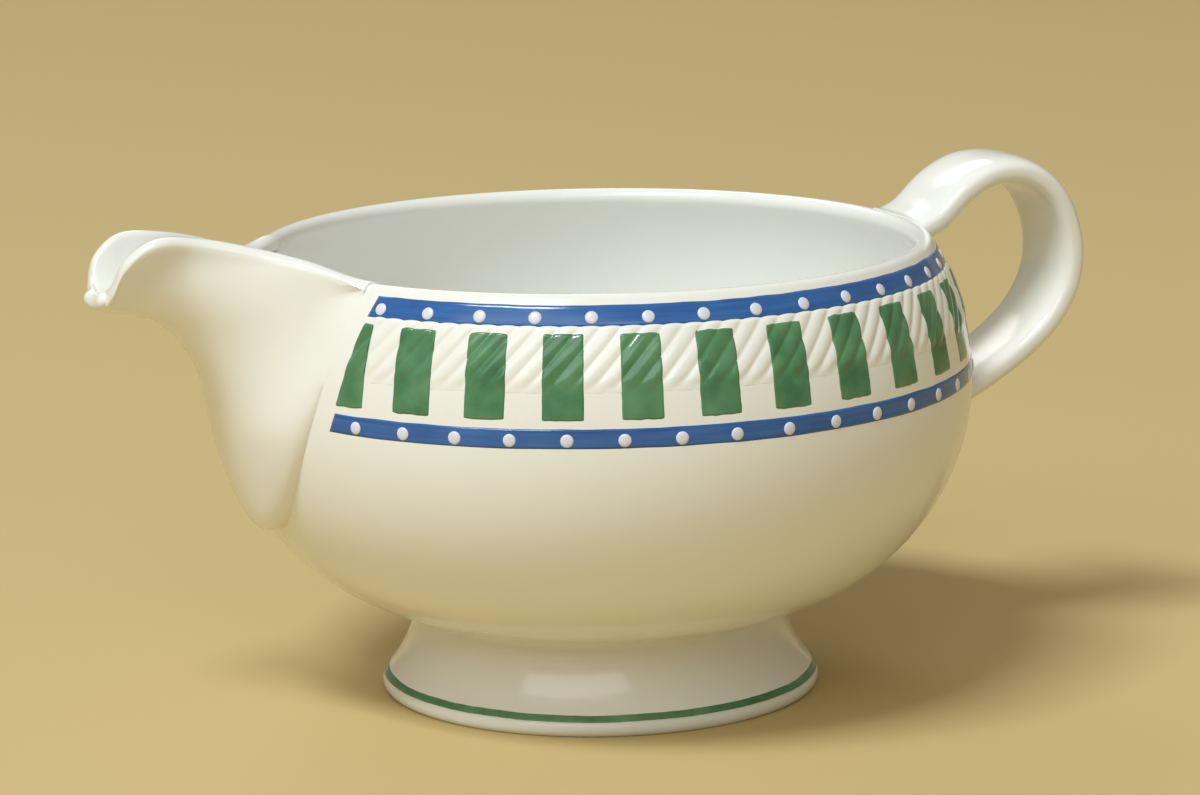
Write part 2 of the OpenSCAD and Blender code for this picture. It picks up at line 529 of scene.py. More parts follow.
@dataclass(frozen=True)
class PaintLayer:
    """One layer of unevenness in a paint: its detail, its share and how it is stretched.

    A scale of 0 stands for the group's own fineness.
    """

    detail: float
    share: float
    scale: float = 0.0
    stretch: Row = (1, 1, 1)


def glaze_skin_group() -> bpy.types.NodeTree:
    """The faint ripple and pinholes of fired glaze, as a height, and a slow drift of its tone."""
    tree = new_group(
        "glaze_skin",
        {"Ripple Scale": 60.0, "Pinholes": 0.15},
        {"Height": "NodeSocketFloat", "Drift": "NodeSocketFloat"},
    )
    inside, out = tree.nodes["in"], tree.nodes["out"]
    ripple = cloud(tree, inside.outputs["Ripple Scale"], 1.0)
    fine = cloud(tree, 900.0, 0.0)
    pits = arithmetic(tree, "MULTIPLY", arithmetic(tree, "LESS_THAN", fine, 0.24), inside.outputs["Pinholes"])
    tree.links.new(arithmetic(tree, "SUBTRACT", ripple, pits), out.inputs["Height"])
    tree.links.new(cloud(tree, 22.0, 2.0), out.inputs["Drift"])
    return tree


def paint_group(name: str, fineness: float, contrast: float, layers: Sequence[PaintLayer]) -> bpy.types.NodeTree:
    """Unevenly loaded paint, from 0 for thin colour to 1 for thick.

    Args:
        name: the group's name.
        fineness: the usual scale of its first layer.
        contrast: its usual contrast.
        layers: its two layers. The first takes its scale from the group's input.

    Returns:
        The group.
    """
    tree = new_group(name, {"Fineness": fineness, "Contrast": contrast}, {"Load": "NodeSocketFloat"})
    inside, out = tree.nodes["in"], tree.nodes["out"]
    shares = []
    for layer in layers:
        scale = layer.scale or inside.outputs["Fineness"]
        shares.append(arithmetic(tree, "MULTIPLY", cloud(tree, scale, layer.detail, layer.stretch), layer.share))
    centred = arithmetic(tree, "SUBTRACT", arithmetic(tree, "ADD", *shares), 0.5)
    load = arithmetic(tree, "ADD", arithmetic(tree, "MULTIPLY", centred, inside.outputs["Contrast"]), 0.5)
    load.node.use_clamp = True
    tree.links.new(load, out.inputs["Load"])
    return tree


def brushed_group() -> bpy.types.NodeTree:
    """Streaks that a loaded brush leaves round the pot."""
    layers = (PaintLayer(3.0, 0.7, stretch=(1, 1, 26)), PaintLayer(2.0, 0.3, scale=150.0))
    return paint_group("brushed", 55.0, 1.6, layers)


def watery_group() -> bpy.types.NodeTree:
    """Blotches of thin and pooled colour."""
    layers = (PaintLayer(4.0, 0.6), PaintLayer(1.0, 0.4, scale=70.0))
    return paint_group("watery", 210.0, 2.4, layers)


@dataclass(frozen=True)
class Effects:
    """The node groups that the finishes share."""

    glaze_skin: bpy.types.NodeTree
    brushed: bpy.types.NodeTree
    watery: bpy.types.NodeTree


def linear(red: float, green: float, blue: float) -> tuple[float, float, float, float]:
    """A screen colour, 0 to 255 each, as Blender's linear colour."""

    def one(value: float) -> float:
        """One channel."""
        value /= 255
        return value / 12.92 if value <= 0.04045 else ((value + 0.055) / 1.055) ** 2.4

    return one(red), one(green), one(blue), 1.0


@dataclass(frozen=True)
class Finish:
    """A fired, glossy finish whose colour runs between a thin and a thick tone."""

    name: str
    thin: tuple[float, float, float]
    thick: tuple[float, float, float]
    roughness: float = 0.12
    rough_spread: float = 0.03
    ior: float = 1.52
    ripple_scale: float = 60.0
    ripple_depth: float = 0.02 * MM
    pinholes: float = 0.1

    def load(self, tree: bpy.types.NodeTree, effects: Effects, skin: bpy.types.Node) -> bpy.types.NodeSocket:
        """The share of the thick tone over the surface.

        Args:
            tree: the material's nodes.
            effects: the shared groups.
            skin: the material's glaze_skin node.

        Returns:
            A socket from 0 to 1.
        """
        return skin.outputs["Drift"]

    def material(self, effects: Effects) -> bpy.types.Material:
        """Builds the material.

        Args:
            effects: the shared groups.

        Returns:
            The material.
        """
        made = bpy.data.materials.new(self.name)
        made.use_nodes = True
        tree = made.node_tree
        shader = tree.nodes["Principled BSDF"]
        shader.inputs["IOR"].default_value = self.ior
        skin = tree.nodes.new("ShaderNodeGroup")
        skin.node_tree = effects.glaze_skin
        skin.inputs["Ripple Scale"].default_value = self.ripple_scale
        skin.inputs["Pinholes"].default_value = self.pinholes
        mix = tree.nodes.new("ShaderNodeMix")
        mix.data_type = "RGBA"
        mix.inputs["A"].default_value = linear(*self.thin)
        mix.inputs["B"].default_value = linear(*self.thick)
        tree.links.new(self.load(tree, effects, skin), mix.inputs["Factor"])
        tree.links.new(mix.outputs["Result"], shader.inputs["Base Color"])
        spread = arithmetic(tree, "MULTIPLY", skin.outputs["Drift"], self.rough_spread)
        rough = arithmetic(tree, "ADD", spread, self.roughness)
        tree.links.new(rough, shader.inputs["Roughness"])
        bump = tree.nodes.new("ShaderNodeBump")
        bump.inputs["Distance"].default_value = self.ripple_depth
        tree.links.new(skin.outputs["Height"], bump.inputs["Height"])
        tree.links.new(bump.outputs["Normal"], shader.inputs["Normal"])
        return made


@dataclass(frozen=True)
class PaintedFinish(Finish):
    """Colour laid on by hand, whose load comes from one of the shared paint groups."""

    paint: str = "brushed"
    fineness: float = 55.0
    contrast: float = 1.8

    def load(self, tree: bpy.types.NodeTree, effects: Effects, skin: bpy.types.Node) -> bpy.types.NodeSocket:
        """The unevenness that the hand left.

        Args:
            tree: the material's nodes.
            effects: the shared groups.
            skin: the material's glaze_skin node.

        Returns:
            A socket from 0 to 1.
        """
        paint = tree.nodes.new("ShaderNodeGroup")
        paint.node_tree = getattr(effects, self.paint)
        paint.inputs["Fineness"].default_value = self.fineness
        paint.inputs["Contrast"].default_value = self.contrast
        return paint.outputs["Load"]


@dataclass(frozen=True)
class Finishes:
    """Every material of the pot."""

    porcelain: bpy.types.Material
    blue: bpy.types.Material
    green: bpy.types.Material
    enamel: bpy.types.Material

    @classmethod
    def mixed(cls) -> "Finishes":
        """Builds them all."""
        effects = Effects(glaze_skin_group(), brushed_group(), watery_group())
        return cls(
            Finish("white_porcelain", (240, 240, 236), (236, 237, 232)).material(effects),
            PaintedFinish("brushed_cobalt", (62, 116, 182), (32, 74, 148)).material(effects),
            PaintedFinish(
                "watery_green", (104, 152, 112), (52, 108, 72), paint="watery", fineness=210.0, contrast=2.4
            ).material(effects),
            Finish("raised_enamel", (226, 228, 240), (214, 217, 234), roughness=0.2).material(effects),
        )


# ---------------------------------------------------------------- the pieces of clay


@dataclass
class Bowl:
    """The round bowl, with its wall cut away behind the spout."""

    wall: Wall
    cols: int = 216
    rim_steps: int = 7
    wall_steps: int = 56
    base_steps: int = 20
    floor_steps: int = 4
    tip_crowding: float = 1.8
    tuck: float = 0.5 * MM

    def wall_part(self, top: float, inset: float) -> list[Row]:
        """The outline of one face of the wall, from the tongue's tip to the rim.

        Args:
            top: the height where the rim's rounding begins.
            inset: how far inside the outer face it is.

        Returns:
            Distances from the axis and heights.
        """
        low = self.wall.tongue_low
        shares = [(k / self.wall_steps) ** self.tip_crowding for k in range(self.wall_steps + 1)]
        heights = [low + (top - low) * share for share in shares]
        return [(self.wall.radius(height, inset), height) for height in heights]

    def base_part(self, inset: float) -> list[Row]:
        """The outline from the middle of the floor to just under the tongue's tip.

        Args:
            inset: how far inside the outer face it is.

        Returns:
            Distances from the axis and heights.
        """
        wall = self.wall
        arc = wall.lower_arc - inset
        centre = wall.belly_radius - wall.lower_arc
        top = math.asin((wall.tongue_low - wall.belly_height) / arc)
        turn = top + math.pi / 2
        floor = [(centre * k / self.floor_steps, wall.belly_height - arc) for k in range(self.floor_steps)]
        leans = [-math.pi / 2 + turn * k / self.base_steps for k in range(self.base_steps)]
        return floor + [
            (centre + arc * math.cos(lean), wall.belly_height + arc * math.sin(lean)) for lean in leans
        ]

    def rim_part(self, start: float, end: float) -> list[Row]:
        """A stretch of the rim's rounding.

        Args:
            start: its angle at the wall.
            end: its angle at the top.

        Returns:
            Distances from the axis and heights, without the point at the start.
        """
        out, height = self.wall.lip_centre
        leans = [start + (end - start) * k / self.rim_steps for k in range(1, self.rim_steps + 1)]
        radius = self.wall.lip_radius
        return [(out + radius * math.cos(lean), height + radius * math.sin(lean)) for lean in leans]

    def halves(self) -> tuple[list[Row], list[Row]]:
        """The outline outside and inside, each from the tongue's tip to the top of the rim."""
        wall = self.wall
        high, low = wall.joint_heights
        outer = self.wall_part(high, 0.0) + self.rim_part(wall.lip_angle, math.pi / 2)
        inner = self.wall_part(low, wall.thickness) + self.rim_part(wall.lip_angle + math.pi, math.pi / 2)
        return outer, inner

    def opening(self, out: float, height: float, tuck: float) -> float:
        """Angle at which the wall ends beside the spout.

        Args:
            out: the point's distance from the axis.
            height: its height.
            tuck: how far the wall runs on under the spout.

        Returns:
            The angle from the spout's middle, in radians.
        """
        width = self.wall.tongue_width(min(height, self.wall.rim_height))
        return math.asin(clamp((width - tuck) / out, 0.0, 1.0)) if out > TOUCHING else 0.0

    def build(self) -> bpy.types.Object:
        """Builds the bowl.

        Returns:
            The closed shell.
        """
        outer, inner = self.halves()
        base_out, base_in = self.base_part(0.0), self.base_part(self.wall.thickness)
        outline = base_out + outer + inner[-2::-1] + base_in[::-1]
        tucked = len(base_out) + len(outer)

        def skin(row: int, col: int) -> Vector:
            """A point of the skin that runs from under the floor over the rim to inside."""
            out, height = outline[row]
            start = self.opening(out, height, self.tuck if row < tucked else 0.0)
            return turned(out, start + (2 * math.pi - 2 * start) * col / self.cols, height)

        def cut(side: Side) -> Place:
            """The cut face on one side of the opening."""

            def place(row: int, col: int) -> Vector:
                """A point of the cut face."""
                out, height = (outer, inner)[col][row]
                tuck = self.tuck if col == 0 or row == len(outer) - 1 else 0.0
                return turned(out, side.value * self.opening(out, height, tuck), height)

            return place

        parts = [sheet("bowl_body", len(outline) - 1, self.cols, skin)]
        parts += [sheet("cut", len(outer) - 1, 1, cut(side)) for side in Side]
        return closed("bowl_body", parts)


@dataclass
class Spout:
    """The pouring spout: a tongue up the belly that opens into a turned-down lip.

    A tongue row is: height of its ends on the bowl, keel x, keel z, and how boxy the row is.
    A lip row is: end x, end y, end z, keel x, keel z, and how boxy the row is. Both in millimetres.
    """

    wall: Wall
    tongue_rows: tuple[Row, ...] = (
        (34.3, -61.07, 34.3, 2.4),
        (34.7, -63.2, 34.5, 2.4),
        (36.6, -64.7, 35.4, 2.4),
        (40.5, -66.5, 39.0, 2.4),
        (46.5, -68.6, 45.5, 2.3),
        (54.0, -70.4, 52.5, 2.2),
        (62.0, -72.4, 60.0, 2.0),
        (70.0, -75.2, 66.4, 1.8),
        (76.5, -78.4, 70.6, 1.6),
        (81.2, -81.0, 72.8, 1.5),
    )
    lip_rows: tuple[Row, ...] = (
        (-57.5, 23.6, 82.5, -82.6, 73.6, 1.6),
        (-66.0, 17.2, 84.8, -84.6, 74.1, 1.9),
        (-76.0, 12.9, 87.2, -86.8, 74.5, 2.2),
        (-84.6, 12.3, 87.8, -89.0, 74.8, 2.6),
        (-89.6, 10.9, 84.2, -90.6, 75.1, 2.8),
        (-91.4, 8.6, 79.4, -91.2, 75.3, 2.8),
        (-92.0, 5.6, 76.9, -91.8, 75.6, 2.4),
    )
    nose: float = 0.35
    lean: float = 0.08
    lip_thickness: float = 3.0 * MM
    focus_ahead: float = 1.5 * MM
    focus_above: float = 2 * MM
    nose_climb: float = 12 * MM
    turn_stretches: int = 3
    row_steps: int = 7
    half_cols: int = 26
    edge_steps: int = 8
    tip_steps: int = 4
    relax_passes: int = 60
    relax_stretches: int = 4
    groove_low: float = 0.6 * MM
    groove_high: float = 3.0 * MM
    inner_groove: float = 1.6 * MM
    slab_power: float = 3.6
    slab_round: float = 0.42
    slab_low: float = 52 * MM
    slab_high: float = 72 * MM
    groove_start: float = 50 * MM
    groove_end: float = 74 * MM
    joint_stretches: float = 1.5
    relax_from: float = 0.6
    relax_to: float = 0.98

    def rows(self) -> list[Row]:
        """Every cross row in metres: end x, end y, end z, keel x, keel z, boxiness."""
        tongue = [self.on_bowl((0, 0, r[0] * MM, r[1] * MM, r[2] * MM, r[3])) for r in self.tongue_rows]
        lip = [(*[value * MM for value in r[:5]], r[5]) for r in self.lip_rows]
        after, before, corner = lip[0], tongue[-2], tongue[-1]
        low = smooth_rows([*tongue, (*before[:3], *after[3:])], self.row_steps)
        rim = (*self.rim_corner(), *corner[3:])
        high = smooth_rows([(*after[:3], *before[3:]), rim, *lip], self.row_steps)
        count = self.bowl_count
        return [self.on_bowl(r) for r in low[:count]] + high[self.row_steps + 1 :]

    def rim_corner(self) -> Vector:
        """The top of the bowl's rim where the spout's edge leaves it."""
        out, height = self.wall.lip_centre
        width = self.wall.tongue_half_width
        return Vector((-math.sqrt(out**2 - width**2), width, height + self.wall.lip_radius))

    @property
    def bowl_count(self) -> int:
        """How many of the cross rows end on the bowl."""
        return (len(self.tongue_rows) - 1) * self.row_steps + 1

    def on_bowl(self, row: Row) -> Row:
        """Puts a row's ends on the bowl, at the edge of the tongue.

        Args:
            row: the row.

        Returns:
            The row with its end x and y worked out from its end z.
        """
        height = clamp(row[2], self.wall.tongue_low, self.wall.joint_heights[0])
        width = self.wall.tongue_width(height)
        out = self.wall.radius(height)
        return (-math.sqrt(out**2 - width**2), width, height, *row[3:])

    def across(self, row: Row, t: float) -> Vector:
        """A point of a cross row.

        Args:
            row: the row.
            t: -1 at one end, 0 at the keel, 1 at the other end.

        Returns:
            The point.
        """
        power = row[5]

        def raised(value: float) -> float:
            """How far from the keel's height a point has come, unscaled."""
            return (self.nose**2 + value**2) ** (power / 2) - self.nose**power

        share = raised(t) / raised(1)
        return Vector((row[3] + (row[0] - row[3]) * share, row[1] * t, row[4] + (row[2] - row[4]) * share))

    def stood_off(self, point: Vector, row: Row, t: float, keel_proud: float) -> Vector:
        """Gives the tongue its full, rounded edge and the soft groove where it meets the bowl.

        Args:
            point: the plain point.
            row: its row.
            t: its place across the row.
            keel_proud: how far the keel of its row stands off the bowl.

        Returns:
            The point, moved straight towards or away from the axis.
        """
        height = min(point.z, self.wall.lip_centre[1])
        wall_out = self.wall.radius(height)
        out = math.hypot(point.x, point.y)
        proud = max(0.0, out - wall_out)
        slab = 1 - ease(row[2], self.slab_low, self.slab_high)
        full = keel_proud * max(0.0, 1 - abs(t) ** self.slab_power) ** self.slab_round
        proud += (max(full, proud) - proud) * slab
        widening = ease(row[2], self.groove_start, self.groove_end)
        groove = self.groove_low + (self.groove_high - self.groove_low) * widening
        proud *= 1 - math.exp(-proud / groove)
        scale = (wall_out + proud) / out
        return Vector((point.x * scale, point.y * scale, point.z))

    def build(self) -> bpy.types.Object:
        """Builds the spout.

        Returns:
            The closed shell.
        """
        rows = self.rows()
        span = [j / self.half_cols - 1 for j in range(2 * self.half_cols + 1)]
        plain = [[self.across(row, t) for t in span] for row in rows]
        for i in range(self.bowl_count, len(rows)):
            lean = self.lean * ease(i - self.bowl_count, 0, self.joint_stretches * self.row_steps)
            plain[i] = [point - Vector((0, 0, lean * point.y)) for point in plain[i]]
        outside = [self.outer_row(row, points, span) for row, points in zip(rows, plain)]
        inside = [self.inner_row(rows, plain, i, span) for i in range(len(rows))]
        joint = self.bowl_count - 1
        rings = [self.ring(outside[i], inside[i], 0.0, 0.0) for i in range(joint + 1)]
        rings.append(self.ring(outside[joint], inside[joint], 1.0, 0.0))
        corner = self.rim_corner()
        virtual = [self.across((*corner, *rows[joint][3:]), t) for t in span]
        behind = [point + (inside[joint][j] - plain[joint][j]) for j, point in enumerate(virtual)]
        wished = self.ring(virtual, behind, 1.0, 1.0)
        gap = [there - here for there, here in zip(rings[-1], wished)]
        for i in range(joint + 1, len(rows)):
            share = ease(i - joint, 0, self.joint_stretches * self.row_steps)
            inner = []
            for j, point in enumerate(plain[i]):
                at_joint, here = inside[joint][j] - plain[joint][j], inside[i][j] - point
                inner.append(point + at_joint.lerp(here, share))
            ring = self.ring(plain[i], inner, 1.0, 1.0)
            rings.append([point + move * (1 - share) for point, move in zip(ring, gap)])
        self.relax(rings, span)
        rings += self.tip_rings(rings[-1])
        return tube("pouring_spout", rings, [self.paired(rings[-1])])

    def outer_row(self, row: Row, points: list[Vector], span: list[float]) -> list[Vector]:
        """The outside of a cross row, with the tongue's full edge and its groove.

        Args:
            row: the row.
            points: its plain points.
            span: the place of each point across it.

        Returns:
            The points, moved.
        """
        keel = points[self.half_cols]
        wall_out = self.wall.radius(min(keel.z, self.wall.lip_centre[1]))
        proud = max(0.0, math.hypot(keel.x, keel.y) - wall_out)
        return [self.stood_off(point, row, t, proud) for point, t in zip(points, span)]

    def inner_row(
        self, rows: list[Row], plain: list[list[Vector]], i: int, span: list[float]
    ) -> list[Vector]:
        """The inside behind a cross row.

        Args:
            rows: every row.
            plain: the plain points of every row.
            i: which row it is.
            span: the place of each point across it.

        Returns:
            The points, on the bowl's own inside at the ends of the tongue's rows.
        """
        share = clamp((i - self.bowl_count + 1) / (self.turn_stretches * self.row_steps), 0.0, 1.0)
        climb = self.nose_climb * ease(i, len(rows) - 1 - 3 * self.row_steps, len(rows) - 1)
        focus = Vector((rows[i][0] + self.focus_ahead, 0, rows[i][2] + self.focus_above + climb))
        depth = self.wall.thickness + (self.lip_thickness - self.wall.thickness) * share
        last, end = len(rows) - 1, len(span) - 1
        made = []
        for j, point in enumerate(plain[i]):
            if i < self.bowl_count and (i == 0 or j in (0, end)):
                made.append(self.inner_end(point))
                continue
            along = plain[i][min(j + 1, end)] - plain[i][max(j - 1, 0)]
            up = plain[min(i + 1, last)][j] - plain[max(i - 1, 0)][j]
            inward = along.cross(up).normalized()
            towards = inward * (1 - share) + (focus - point).normalized() * share
            found = point + towards.normalized() * depth
            made.append(self.softened(found) if i < self.bowl_count else found)
        return made

    def inner_end(self, point: Vector) -> Vector:
        """The point of the bowl's inside that lies behind a point of the tongue's edge."""
        wall = self.wall
        high, low = wall.joint_heights
        share = (low - wall.tongue_low) / (high - wall.tongue_low)
        height = wall.tongue_low + (point.z - wall.tongue_low) * share
        width = math.copysign(wall.tongue_width(height), point.y)
        return Vector((-math.sqrt(wall.radius(height, wall.thickness) ** 2 - width**2), width, height))

    def softened(self, point: Vector) -> Vector:
        """Lets the channel run out softly into the bowl's own inside.

        Args:
            point: a point of the channel.

        Returns:
            The point, moved straight away from the axis.
        """
        out = math.hypot(point.x, point.y)
        face = self.wall.radius(min(point.z, self.wall.lip_centre[1]), self.wall.thickness)
        past = max(0.0, out - face)
        past *= 1 - math.exp(-past / self.inner_groove)
        return Vector((point.x * (face + past) / out, point.y * (face + past) / out, point.z))

    def relax(self, rings: list[list[Vector]], span: list[float]) -> None:
        """Evens out the bend where the tongue turns into the lip, and leaves the edges alone.

        Args:
            rings: the rings, which are changed.
            span: the place across the row of each outside point.
        """
        wide, count = len(span), len(rings[0])
        reach = self.relax_stretches * self.row_steps
        middle = self.bowl_count
        freedom = [0.0] * count
        for j, t in enumerate(span):
            free = 1 - ease(abs(t), self.relax_from, self.relax_to)
            freedom[j] = freedom[2 * wide + self.edge_steps - 2 - j] = free
        for _ in range(self.relax_passes):
            old = [list(ring) for ring in rings]
            for i in range(max(1, middle - reach), min(len(rings) - 1, middle + reach)):
                share = 1 - ease(abs(i - middle), reach / 2, reach)
                for k in range(count):
                    if freedom[k]:
                        even = (old[i - 1][k] + old[i + 1][k]) / 2
                        rings[i][k] = old[i][k].lerp(even, share * freedom[k])

    def paired(self, ring: list[Vector]) -> list[Vector]:
        """Turns a ring so that its first half lies outside and its second half inside.

        Args:
            ring: the ring.

        Returns:
            The same points, started in the middle of the first rounded edge.
        """
        shift = self.edge_steps // 2
        return ring[-shift:] + ring[:-shift] if shift else ring

    def ring(self, outer: list[Vector], inner: list[Vector], rounding: float, free: float) -> list[Vector]:
        """Closes an outside row and an inside row into a ring.

        Args:
            outer: the points of the outside.
            inner: the points behind them.
            rounding: how round the edges are, from 0 to 1.
            free: 0 where the edges carry on the bowl's rim, 1 where they are the lip's own.

        Returns:
            The ring: outside, far edge, inside back again, near edge.
        """
        trim = (outer[-1] - inner[-1]).length / 2 * free
        out_row, in_row = pulled_in(outer, trim), pulled_in(inner, trim)
        lean = self.wall.lip_angle
        ends = []
        for end, next_to in ((-1, -2), (0, 1)):
            away = Vector((outer[end].x, outer[end].y, 0)).normalized()
            rim = away * -math.sin(lean) + Vector((0, 0, math.cos(lean)))
            ahead = rim.lerp((outer[end] - outer[next_to]).normalized(), free)
            ends.append(self.edge(out_row[end], in_row[end], ahead, rounding))
        return out_row + ends[0] + in_row[::-1] + ends[1][::-1]

    def edge(self, start: Vector, end: Vector, ahead: Vector, rounding: float) -> list[Vector]:
        """The rounded edge between two faces.

        Args:
            start: where it leaves one face.
            end: where it meets the other.
            ahead: the direction in which it bulges.
            rounding: how far it bulges, from 0 to 1.

        Returns:
            The points between start and end.
        """
        middle, half = (start + end) / 2, (start - end) / 2
        side = half.normalized() if half.length > TOUCHING else Vector((0, 0, 1))
        ahead = ahead - side * ahead.dot(side)
        ahead = ahead.normalized() if ahead.length > 0 else side.orthogonal()
        made = []
        for k in range(1, self.edge_steps):
            turn = math.pi * k / self.edge_steps
            flat = 1 - 2 * k / self.edge_steps
            across = flat + (math.cos(turn) - flat) * rounding
            made.append(middle + half * across + ahead * half.length * math.sin(turn) * rounding)
        return made

    def tip_rings(self, ring: list[Vector]) -> list[list[Vector]]:
        """Rounds off the very tip of the lip.

        Args:
            ring: the last ring.

        Returns:
            The rings that close in on the middle of the tip's edge.
        """
        start = self.paired(ring)
        ahead = Vector((-1, 0, 0))
        made = []
        for k in range(1, self.tip_steps + 1):
            turn = math.pi / 2 * k / (self.tip_steps + 0.5)
            points = []
            for n, point in enumerate(start):
                middle = (point + start[-n]) / 2
                half = point - middle
                points.append(middle + half * math.cos(turn) + ahead * half.length * math.sin(turn))
            shift = self.edge_steps // 2
            made.append(points[shift:] + points[:shift])
        return made


def pulled_in(points: list[Vector], trim: float) -> list[Vector]:
    """Spaces a row's points again after its ends are trimmed.

    Args:
        points: the row, from end to end.
        trim: the length that is taken off each end.

    Returns:
        As many points, over the middle of the row.
    """

    def first_kept(row: list[Vector]) -> float:
        """Place on a row, counted in points, where its trimmed start lies."""
        left = trim
        for n, (here, there) in enumerate(zip(row, row[1:])):
            step = (there - here).length
            if step > left:
                return n + left / step
            left -= step
        return len(row) / 2

    count = len(points) - 1
    start, end = first_kept(points), count - first_kept(points[::-1])
    made = []
    for n in range(count + 1):
        place = start + (end - start) * n / count
        low = max(0, min(int(place), count - 1))
        made.append(points[low].lerp(points[low + 1], place - low))
    return made


@dataclass
class Handle:
    """The strap handle, which grows over the rim and sweeps down into the belly.

    Its middle line is a list of x and z in millimetres, from inside the rim's rounding down to the belly.
    """

    wall: Wall
    middle_line: tuple[Row, ...] = (
        (59.6, 77.4),
        (61.4, 79.2),
        (65.2, 81.2),
        (70.4, 85.8),
        (76.5, 88.6),
        (83.4, 88.1),
        (89.1, 83.7),
        (92.4, 76.2),
        (92.3, 68.3),
        (88.9, 61.5),
        (83.2, 56.1),
        (76.2, 51.6),
        (69.2, 47.9),
        (63.0, 44.6),
    )
    width_top: float = 20 * MM
    width_low: float = 18.5 * MM
    thickness: float = 5.4 * MM
    boxiness: float = 3.0
    steps: int = 10
    section: int = 56
    fillet_top: float = 0.9 * MM
    fillet_low: float = 1.6 * MM
    fillet_change: float = 64 * MM
    swell_fade: float = 0.8 * MM
    buried: float = 1.0 * MM

    def build(self) -> bpy.types.Object:
        """Builds the handle.

        Returns:
            The closed strap, its ends just inside the bowl's wall.
        """
        path = [Vector((x * MM, 0, z * MM)) for x, z in smooth_rows(self.middle_line, self.steps)]
        rings = [self.ring(path, i) for i in range(len(path))]
        return tube("strap_handle", rings, (rings[0], rings[-1]))

    def ring(self, path: list[Vector], i: int) -> list[Vector]:
        """One cross-section of the strap, swelling where it nears the bowl.

        Args:
            path: the middle line.
            i: which of its points.

        Returns:
            The points round the section.
        """
        along = (path[min(i + 1, len(path) - 1)] - path[max(i - 1, 0)]).normalized()
        flat = Vector((-along.z, 0, along.x))
        wide = Vector((0, 1, 0))
        half_width = (self.width_top + (self.width_low - self.width_top) * i / (len(path) - 1)) / 2
        half_thick = self.thickness / 2
        made = []
        for k in range(self.section):
            turn = 2 * math.pi * k / self.section
            thick = signed_power(math.cos(turn), 2 / self.boxiness)
            width = signed_power(math.sin(turn), 2 / self.boxiness)
            point = path[i] + flat * thick * half_thick + wide * width * half_width
            normal = (
                flat * signed_power(thick, self.boxiness - 1) / half_thick
                + wide * signed_power(width, self.boxiness - 1) / half_width
            ).normalized()
            made.append(self.rooted(point, normal))
        return made

    def rooted(self, point: Vector, normal: Vector) -> Vector:
        """Flares a point of the strap out towards the bowl, and keeps it from coming out inside.

        Args:
            point: the point.
            normal: the strap's outward direction there.

        Returns:
            The moved point.
        """
        fillet = self.fillet_top if point.z > self.fillet_change else self.fillet_low
        away = self.wall.distance(point)
        gap = clamp(fillet - away, 0.0, fillet)
        swell = (fillet - math.sqrt(fillet**2 - gap**2)) * (1 - ease(-away, 0.0, self.swell_fade))
        moved = point + normal * swell
        depth = -self.wall.distance(moved) - self.buried
        if depth > 0 and moved.z < self.wall.lip_centre[1]:
            moved += self.wall.outward(moved) * depth
        return moved


